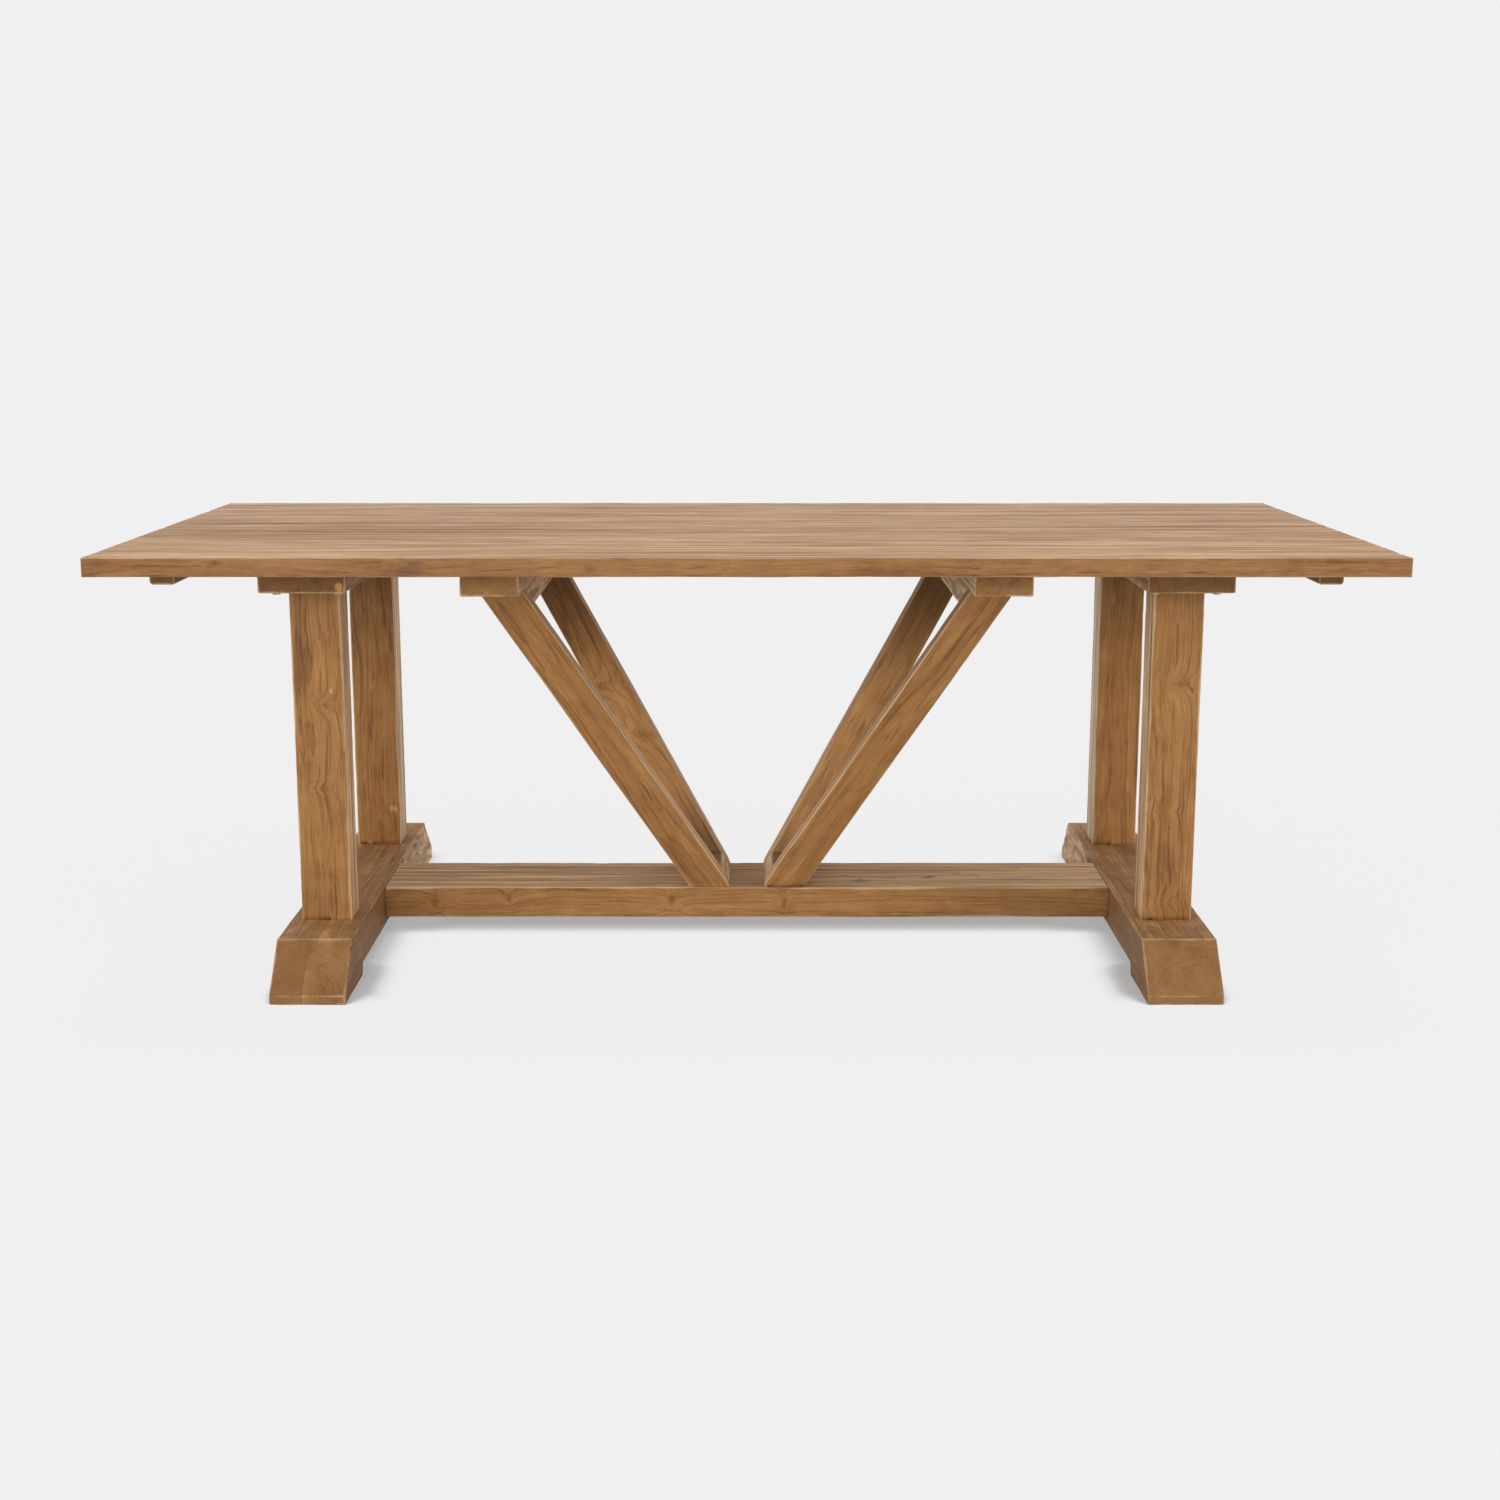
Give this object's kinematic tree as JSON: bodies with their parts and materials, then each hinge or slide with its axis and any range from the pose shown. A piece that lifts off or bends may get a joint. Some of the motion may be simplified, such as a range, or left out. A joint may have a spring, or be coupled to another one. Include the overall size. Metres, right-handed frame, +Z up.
{
  "type": "trestle dining table",
  "caption": "Rectangular trestle dining table: plank top, upright posts on long sloped feet, low flat stretcher and splayed V braces up to bearers.",
  "frame": {"origin": "on the floor under the middle of the table top", "axes": "+X along the length of the top, +Y towards the rear long side, +Z up"},
  "size_m": [2.2, 1, 0.776],
  "materials": {
    "top_teak": "brushed, matt, pale",
    "frame_teak": "oiled, satin, worn edges",
    "joinery_wood": "planed, raw",
    "zinc_steel": "yellow zinc plated"
  },
  "bodies": {
    "root": {"bearer_bolts": "zinc_steel", "bearer_washers": "zinc_steel", "brace_bearer_left": "frame_teak", "brace_bearer_right": "frame_teak", "brace_block_left": "frame_teak", "brace_block_right": "frame_teak", "brace_head_rail_left": "frame_teak", "brace_head_rail_right": "frame_teak", "brace_left_front": "frame_teak", "brace_left_rear": "frame_teak", "brace_loose_tenons": "joinery_wood", "brace_right_front": "frame_teak", "brace_right_rear": "frame_teak", "end_batten_left": "frame_teak", "end_batten_right": "frame_teak", "foot_left": "frame_teak", "foot_right": "frame_teak", "head_rail_bolts": "zinc_steel", "post_left_front": "frame_teak", "post_left_rear": "frame_teak", "post_right_front": "frame_teak", "post_right_rear": "frame_teak", "stretcher": "frame_teak", "stretcher_barrel_nuts": "zinc_steel", "stretcher_bolts": "zinc_steel", "top_board_1": "top_teak", "top_board_2": "top_teak", "top_board_3": "top_teak", "top_board_4": "top_teak", "top_tongues": "joinery_wood", "trestle_bearer_left": "frame_teak", "trestle_bearer_right": "frame_teak"}
  },
  "joints": []
}
